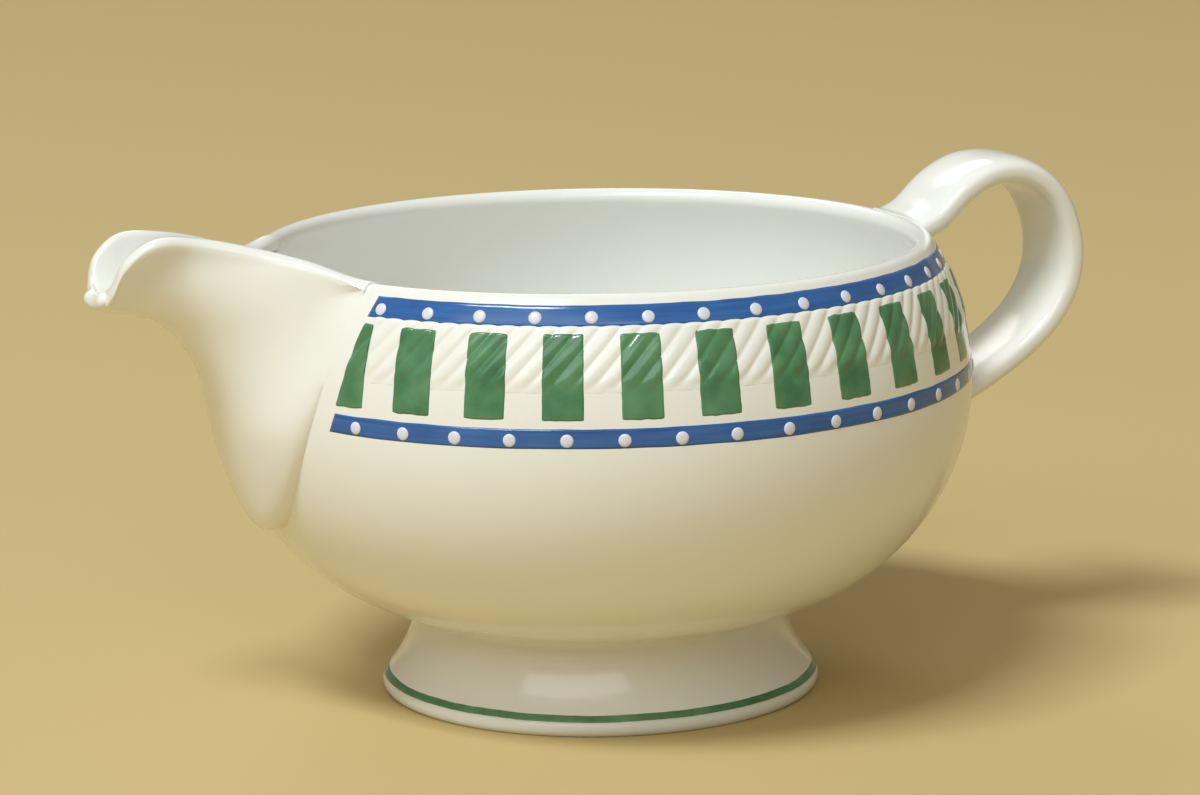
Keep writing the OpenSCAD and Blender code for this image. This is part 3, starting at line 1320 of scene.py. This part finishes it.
@dataclass
class Foot:
    """The flared foot ring with its rolled edge."""

    wall: Wall
    base_radius: float = 39.6 * MM
    inner_radius: float = 34.8 * MM
    roll_radius: float = 1.6 * MM
    roll_height: float = 1.4 * MM
    roll_top: float = 2.5 * MM
    flare_radius: float = 22 * MM
    flare_out: float = 55.3 * MM
    flare_height: float = 17.8 * MM
    fillet: float = 1.6 * MM
    chamfer: float = 0.4 * MM
    roll_gap: float = 0.3 * MM
    tuck: float = 1 * MM
    cols: int = 180
    flare_steps: int = 26
    roll_steps: int = 12
    fillet_steps: int = 8

    def flare(self, height: float, depth: float = 0.0) -> float:
        """Distance of the flare from the axis at a height, on a face depth inside the outer one."""
        return self.flare_out - math.sqrt((self.flare_radius + depth) ** 2 - (height - self.flare_height) ** 2)

    def outline(self) -> list[Row]:
        """The outline of the ring, from its inner lower edge outwards and up, and down inside again."""
        wall = self.wall
        roll_out = self.base_radius - self.roll_radius
        low = -math.asin(self.roll_height / self.roll_radius)
        high = math.asin((self.roll_top - self.roll_height) / self.roll_radius)
        leans = [low + (high - low) * k / self.roll_steps for k in range(self.roll_steps + 1)]
        roll = [
            (
                roll_out + self.roll_radius * math.cos(lean),
                self.roll_height + self.roll_radius * math.sin(lean),
            )
            for lean in leans
        ]
        neck_top, fillet = self.fillet_part()
        flare_low = self.roll_top + self.roll_gap
        rise = neck_top - flare_low
        heights = [flare_low + rise * k / self.flare_steps for k in range(self.flare_steps)]
        flare = [(self.flare(height), height) for height in heights]
        top = wall.floor_height + wall.thickness / 2
        drop = self.roll_top - top
        inner_heights = [top + drop * k / self.flare_steps for k in range(self.flare_steps + 1)]
        inside = [(self.flare(height, wall.thickness), height) for height in inner_heights]
        floor = [(self.inner_radius, self.chamfer), (self.inner_radius + self.chamfer, 0.0)]
        return floor + roll + flare + fillet + [(fillet[-1][0] - self.tuck, top)] + inside

    def fillet_part(self) -> tuple[float, list[Row]]:
        """The small hollow where the neck meets the belly.

        Returns:
            The height where it leaves the neck, and its outline up to the belly.
        """
        wall = self.wall
        centre, arc = wall.belly_radius - wall.lower_arc, wall.lower_arc
        neck = self.flare(wall.floor_height)
        out = neck + self.fillet
        height = wall.belly_height - math.sqrt((arc + self.fillet) ** 2 - (out - centre) ** 2)
        lean = math.atan2(wall.belly_height - height, centre - out)
        leans = [math.pi + (lean - math.pi) * k / self.fillet_steps for k in range(self.fillet_steps + 1)]
        hollow = [(out + self.fillet * math.cos(a), height + self.fillet * math.sin(a)) for a in leans]
        return height, hollow

    def build(self) -> bpy.types.Object:
        """Builds the foot by drawing its outline out ring by ring.

        Returns:
            The closed ring.
        """
        outline = self.outline()
        start_clean()
        bpy.ops.mesh.primitive_circle_add(
            vertices=self.cols, radius=outline[0][0], fill_type="NOTHING", location=(0, 0, outline[0][1])
        )
        bpy.ops.object.transform_apply(location=True)
        bpy.ops.object.mode_set(mode="EDIT")
        bpy.ops.mesh.select_all(action="SELECT")
        for (out, height), (next_out, next_height) in zip(outline, outline[1:] + outline[:1]):
            bpy.ops.mesh.extrude_edges_move(TRANSFORM_OT_translate={"value": (0, 0, next_height - height)})
            scale = next_out / out
            bpy.ops.transform.resize(value=(scale, scale, 1), center_override=(0, 0, next_height))
        bpy.ops.object.mode_set(mode="OBJECT")
        return closed("flared_foot", [bpy.context.object])


# ---------------------------------------------------------------- the border


@dataclass(frozen=True)
class Relief:
    """The rope moulding: slanting ribs that rise round the bowl.

    It says how high the clay stands off the wall, for the moulding itself and for the colour over it.
    """

    low: float = 66 * MM
    high: float = 76.7 * MM
    height: float = 0.3 * MM
    rib_pitch: float = 3.15
    rise_per_degree: float = 1.25 * MM
    fade: float = 3.4 * MM
    head: float = 0.7 * MM
    scallop: float = 0.18 * MM
    scallop_power: float = 0.7
    crown_power: float = 0.75
    head_power: float = 0.5
    unevenness: float = 0.12
    uneven_wave: float = 2.3

    def phase(self, angle: float, height: float) -> float:
        """Which rib a point is on, counted round the pot.

        Args:
            angle: degrees from the spout.
            height: the height.

        Returns:
            The count, whole in the valleys.
        """
        return (angle - (height - self.low) / self.rise_per_degree) / self.rib_pitch

    def crown(self, angle: float, height: float) -> float:
        """How near the top of its rib a point is, from 0 in the valley to 1."""
        return abs(math.sin(math.pi * self.phase(angle, height)))

    def top(self, angle: float) -> float:
        """Height at which the ribs end under the upper band, in scallops."""
        return self.high + self.scallop * self.crown(angle, self.high) ** self.scallop_power

    def lift(self, angle: float, height: float) -> float:
        """How far the clay stands off the wall.

        Args:
            angle: degrees from the spout.
            height: the height.

        Returns:
            The lift.
        """
        crown = self.crown(angle, height) ** self.crown_power
        foot = ease(height, self.low, self.low + self.fade * (1.3 - 0.6 * crown))
        head = 1 - ease(height, self.top(angle) - self.head, self.top(angle))
        irregular = 1 + self.unevenness * wander(2, angle, self.uneven_wave)
        return self.height * crown * foot * head**self.head_power * irregular


@dataclass
class Frieze:
    """The rope moulding as clay."""

    wall: Wall
    relief: Relief
    start: float = 31.4
    end: float = 169.0
    cols: int = 616
    rows: int = 36
    sunk: float = 0.03 * MM
    end_faces: int = 4
    depth: float = 0.5 * MM

    def build(self) -> bpy.types.Object:
        """Builds the moulding on both sides of the pot.

        Returns:
            The two bands as one piece.
        """
        parts = []
        for side in Side:

            def place(row: int, col: int, side: Side = side) -> Vector:
                """A point of the band."""
                angle = side.value * (self.start + (self.end - self.start) * col / self.cols)
                height = self.relief.low + (self.relief.top(angle) - self.relief.low) * row / self.rows
                ends = min(col, self.cols - col) / self.end_faces
                lift = self.relief.lift(angle, height) * clamp(ends, 0.0, 1.0)
                rim = row in (0, self.rows) or col in (0, self.cols)
                return self.wall.at(angle, height, -self.sunk if rim else lift)

            parts.append(laid_on(sheet("rope", self.rows, self.cols, place), self.depth))
        return joined("rope_moulding", parts)


@dataclass
class Band:
    """A blue band, drawn round each side of the pot with a brush."""

    wall: Wall
    name: str
    height: float
    start: float
    seed: float
    end: float = 169.0
    width: float = 3.3 * MM
    lift: float = 0.07 * MM
    slant: float = 0.32
    slant_faces: int = 20
    waver: float = 0.1 * MM
    low_wave: float = 5.0
    high_wave: float = 4.0
    cols: int = 300
    rows: int = 10
    depth: float = 0.3 * MM

    def build(self) -> bpy.types.Object:
        """Builds the band on both sides of the pot.

        Returns:
            The two strokes as one piece.
        """
        parts = []
        for side in Side:

            def place(row: int, col: int, side: Side = side) -> Vector:
                """A point of the stroke."""
                up = row / self.rows
                along = self.start + (self.end - self.start) * col / self.cols
                around = along * side.value
                low = self.height - self.width / 2 + self.waver * wander(self.seed, around, self.low_wave)
                high = self.height + self.width / 2
                high += self.waver * wander(self.seed + 1, around, self.high_wave)
                height = low + (high - low) * up
                shift = self.slant * (height - self.height) / MM * (1 - ease(col, 0, self.slant_faces))
                edge = row in (0, self.rows) or col in (0, self.cols)
                return self.wall.at(side.value * (along + shift), height, 0.0 if edge else self.lift)

            parts.append(laid_on(sheet(self.name, self.rows, self.cols, place), self.depth))
        return joined(self.name, parts)


@dataclass
class Dots:
    """A row of raised enamel dots on each side of the pot."""

    wall: Wall
    name: str
    height: float
    start: float
    pitch: float
    count: int
    seed: float
    diameter: float = 2.2 * MM
    rise: float = 0.3 * MM
    base: float = 0.05 * MM
    stray: float = 0.12
    stray_height: float = 0.1 * MM
    size_spread: float = 0.05

    def first(self) -> bpy.types.Object:
        """Models one dot: the upper part of a flattened ball, closed below."""
        start_clean()
        bpy.ops.mesh.primitive_uv_sphere_add(segments=24, ring_count=12, radius=self.diameter / 2)
        bpy.ops.object.mode_set(mode="EDIT")
        bpy.ops.mesh.select_all(action="SELECT")
        bpy.ops.transform.resize(value=(1, 1, 2 * self.rise / self.diameter), center_override=(0, 0, 0))
        bpy.ops.mesh.bisect(plane_co=(0, 0, -self.rise / 3), plane_no=(0, 0, 1), clear_inner=True)
        bpy.ops.mesh.select_non_manifold(extend=False)
        bpy.ops.mesh.edge_face_add()
        bpy.ops.mesh.select_all(action="SELECT")
        bpy.ops.mesh.normals_make_consistent(inside=False)
        bpy.ops.object.mode_set(mode="OBJECT")
        bpy.ops.object.shade_smooth()
        return bpy.context.object

    def build(self) -> bpy.types.Object:
        """Sets copies of one dot round the wall.

        Returns:
            All the dots as one piece.
        """
        first = self.first()
        parts = []
        for side in Side:
            for number in range(self.count):
                angle = side.value * (self.start + number * self.pitch)
                angle += self.stray * wander(self.seed, angle, 3.0)
                height = self.height + self.stray_height * wander(self.seed + 1, angle, 5.0)
                foot = self.wall.at(angle, height, self.base)
                out = (self.wall.at(angle, height, 1.0) - foot).normalized()
                size = 1 + self.size_spread * wander(self.seed + 2, angle, 4.0)
                copy = first.copy()
                copy.data = first.data.copy()
                bpy.context.scene.collection.objects.link(copy)
                turn = out.to_track_quat("Z", "Y").to_matrix().to_4x4()
                copy.data.transform(Matrix.Translation(foot) @ turn @ Matrix.Diagonal((size, size, 1, 1)))
                parts.append(copy)
        bpy.data.objects.remove(first)
        return joined(self.name, parts)


@dataclass
class GreenBlocks:
    """The green blocks that are painted over the moulding."""

    wall: Wall
    relief: Relief
    low: float = 61.7 * MM
    high: float = 75.5 * MM
    start: float = 36.9
    pitch: float = 11.4
    width: float = 6.0
    count: int = 12
    first_low: float = 26.5
    first_high: float = 29.8
    first_end: float = 31.6
    lift: float = 0.06 * MM
    waver: float = 0.08
    waver_height: float = 0.14 * MM
    edge_wave: float = 1.7
    end_wave: float = 1.2
    cols: int = 30
    rows: int = 46
    corner: float = 0.025
    upright_power: int = 26
    level_power: int = 10
    depth: float = 0.35 * MM

    def block(
        self, side: Side, left: tuple[float, float], right: tuple[float, float], seed: float
    ) -> bpy.types.Object:
        """One block of colour.

        Args:
            side: the side of the pot.
            left: the angle of its edge next to the spout, at its foot and its head.
            right: the angle of its other edge, at its foot and its head.
            seed: which block it is.

        Returns:
            The block.
        """
        width = abs(right[0] - left[0])

        def place(row: int, col: int) -> Vector:
            """A point of the block."""
            u, v = 2 * col / self.cols - 1, 2 * row / self.rows - 1
            x = u * (1 - self.corner * 3 / max(width, 1) * abs(v) ** self.upright_power)
            y = v * (1 - self.corner * abs(u) ** self.level_power)
            up = (y + 1) / 2
            height = self.low + (self.high - self.low) * up
            place_up = height / MM
            first = left[0] + (left[1] - left[0]) * up + self.waver * wander(seed, place_up, self.edge_wave)
            last = right[0] + (right[1] - right[0]) * up
            last += self.waver * wander(seed + 0.5, place_up, self.edge_wave)
            angle = side.value * (first + (last - first) * (x + 1) / 2)
            height += self.waver_height * wander(seed + 0.3, angle, self.end_wave) * y
            edge = row in (0, self.rows) or col in (0, self.cols)
            clay = self.relief.lift(angle, height) if height > self.relief.low else 0.0
            return self.wall.at(angle, height, clay + (0.0 if edge else self.lift))

        return laid_on(sheet("block", self.rows, self.cols, place), self.depth)

    def build(self) -> bpy.types.Object:
        """Builds the blocks on both sides of the pot.

        Returns:
            All the blocks as one piece.
        """
        parts = []
        first_left, first_right = (self.first_low, self.first_high), (self.first_end, self.first_end)
        for side in Side:
            parts.append(self.block(side, first_left, first_right, 90 * side.value))
            for number in range(self.count):
                left = self.start + number * self.pitch
                right = left + self.width
                parts.append(self.block(side, (left, left), (right, right), 3 + number * side.value * 2.0))
        return joined("green_paint_blocks", parts)


@dataclass
class FootLine:
    """The thin green line round the foot, just over its rolled edge."""

    foot: Foot
    low: float = 2.75 * MM
    width: float = 1.0 * MM
    lift: float = 0.06 * MM
    waver: float = 0.12 * MM
    tremble: float = 0.05 * MM
    waves: int = 4
    cols: int = 360
    rows: int = 6
    depth: float = 0.3 * MM

    def build(self) -> bpy.types.Object:
        """Builds the line.

        Returns:
            The closed ring.
        """

        def place(row: int, col: int) -> Vector:
            """A point of the ring."""
            angle = 2 * math.pi * (col % self.cols) / self.cols
            around = Vector((math.cos(angle), math.sin(angle), 0)) * self.waves
            waver = self.waver * noise.noise(around) + self.tremble * noise.noise(around * 5)
            low, high = self.low + waver * 0.5, self.low + self.width + waver
            height = low + (high - low) * row / self.rows
            edge = row in (0, self.rows)
            return turned(self.foot.flare(height) + (0.0 if edge else self.lift), angle, height)

        return laid_on(closed("green_paint_line", [sheet("line", self.rows, self.cols, place)]), self.depth)


# ---------------------------------------------------------------- the studio


@dataclass(frozen=True)
class Camera:
    """The camera, by where it stands and how it is turned, in degrees."""

    azimuth: float = 22.5
    distance: float = 766.0 * MM
    height: float = 205.0 * MM
    lens: float = 130.3
    pan: float = 0.047
    down: float = 11.274
    roll: float = -0.844
    clip: tuple[float, float] = (0.01, 50.0)

    def build(self) -> bpy.types.Object:
        """Makes the camera the scene's.

        Returns:
            The camera.
        """
        around, down, roll = (math.radians(value) for value in (self.azimuth, self.down, self.roll))
        place = Vector((-self.distance * math.sin(around), -self.distance * math.cos(around), self.height))
        heading = math.radians(self.azimuth + self.pan)
        level = Vector((math.sin(heading), math.cos(heading), 0))
        ahead = level * math.cos(down) - Vector((0, 0, math.sin(down)))
        right = Vector((math.cos(heading), -math.sin(heading), 0))
        up = right.cross(ahead)
        axes = (
            right * math.cos(roll) + up * math.sin(roll),
            up * math.cos(roll) - right * math.sin(roll),
            -ahead,
        )
        start_clean()
        bpy.ops.object.camera_add()
        camera = bpy.context.object
        camera.name = "camera"
        camera.data.lens = self.lens
        camera.data.clip_start, camera.data.clip_end = self.clip
        camera.matrix_world = Matrix.Translation(place) @ Matrix(axes).transposed().to_4x4()
        bpy.context.scene.camera = camera
        log.info("camera at %s", tuple(round(value, 3) for value in place))
        return camera


@dataclass(frozen=True)
class Softbox:
    """A soft lamp that looks at the pot."""

    name: str
    place: tuple[float, float, float]
    size: tuple[float, float]
    power: float
    colour: tuple[float, float, float] = (1.0, 1.0, 1.0)

    def build(self, target: Vector) -> bpy.types.Object:
        """Hangs the lamp.

        Args:
            target: where it looks.

        Returns:
            The lamp.
        """
        start_clean()
        bpy.ops.object.light_add(type="AREA", location=self.place)
        lamp = bpy.context.object
        lamp.name = self.name
        lamp.data.shape = "RECTANGLE"
        lamp.data.size, lamp.data.size_y = self.size
        lamp.data.energy = self.power
        lamp.data.color = self.colour
        lamp.rotation_euler = (target - Vector(self.place)).to_track_quat("-Z", "Y").to_euler()
        return lamp


@dataclass
class Studio:
    """A pale plain floor, soft lamps and a soft sky."""

    floor_size: float = 14.0
    floor_colour: tuple[float, float, float] = (201, 178, 124)
    floor_roughness: float = 0.75
    sky_colour: tuple[float, float, float] = (226, 214, 186)
    sky_strength: float = 0.36
    lamps: list[Softbox] = field(
        default_factory=lambda: [
            Softbox("key_lamp", (-1.8, -1.0, 3.4), (1.6, 0.7), 116.0, (0.92, 0.98, 1.0)),
            Softbox("front_lamp", (-1.7, -2.1, 2.0), (3.4, 1.2), 27.0, (0.88, 0.96, 1.0)),
            Softbox("far_lamp", (0.4, 3.2, 2.6), (2.0, 1.2), 20.0, (1.0, 0.98, 0.94)),
        ]
    )

    def floor(self) -> bpy.types.Object:
        """Lays the floor.

        Returns:
            The floor, marked as not part of the object.
        """
        start_clean()
        bpy.ops.mesh.primitive_plane_add(size=self.floor_size)
        floor = bpy.context.object
        floor.name = "floor"
        paint = bpy.data.materials.new("pale_floor")
        paint.use_nodes = True
        shader = paint.node_tree.nodes["Principled BSDF"]
        shader.inputs["Base Color"].default_value = linear(*self.floor_colour)
        shader.inputs["Roughness"].default_value = self.floor_roughness
        floor.data.materials.append(paint)
        floor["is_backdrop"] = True
        return floor

    def build(self) -> None:
        """Sets up floor, lamps and sky."""
        self.floor()
        low, high = CAD_BOX
        for lamp in self.lamps:
            lamp.build((low + high) / 2)
        world = bpy.data.worlds.new("soft_sky")
        world.use_nodes = True
        sky = world.node_tree.nodes["Background"]
        sky.inputs["Color"].default_value = linear(*self.sky_colour)
        sky.inputs["Strength"].default_value = self.sky_strength
        bpy.context.scene.world = world
        bpy.context.scene.view_settings.view_transform = "Standard"


def main() -> None:
    """Builds the gravy boat piece by piece, in the order in which a potter would."""
    logging.basicConfig(level=logging.INFO, format="%(message)s")
    Camera().build()
    Studio().build()
    finishes = Finishes.mixed()
    wall = Wall()
    relief = Relief()
    foot = Foot(wall)
    settle(Bowl(wall).build(), Slot.PORCELAIN, finishes.porcelain, "bowl")
    settle(Spout(wall).build(), Slot.PORCELAIN, finishes.porcelain, "spout")
    settle(Handle(wall).build(), Slot.PORCELAIN, finishes.porcelain, "handle")
    settle(foot.build(), Slot.PORCELAIN, finishes.porcelain, "foot")
    settle(Frieze(wall, relief).build(), Slot.PORCELAIN, finishes.porcelain, "rope_frieze")
    upper = Band(wall, "upper_blue_stroke", 78.3 * MM, 30.4, 11)
    lower = Band(wall, "lower_blue_stroke", 58.7 * MM, 26.0, 21)
    settle(upper.build(), Slot.BLUE, finishes.blue, "upper_blue_band")
    settle(lower.build(), Slot.BLUE, finishes.blue, "lower_blue_band")
    upper_dots = Dots(wall, "upper_enamel_dots", 78.0 * MM, 32.1, 8.71, 16, 31)
    lower_dots = Dots(wall, "lower_enamel_dots", 58.4 * MM, 30.6, 8.16, 17, 41)
    settle(upper_dots.build(), Slot.ENAMEL, finishes.enamel, "upper_dots")
    settle(lower_dots.build(), Slot.ENAMEL, finishes.enamel, "lower_dots")
    settle(GreenBlocks(wall, relief).build(), Slot.GREEN, finishes.green, "green_blocks")
    settle(FootLine(foot).build(), Slot.GREEN, finishes.green, "green_foot_line")


if __name__ == "__main__":
    main()
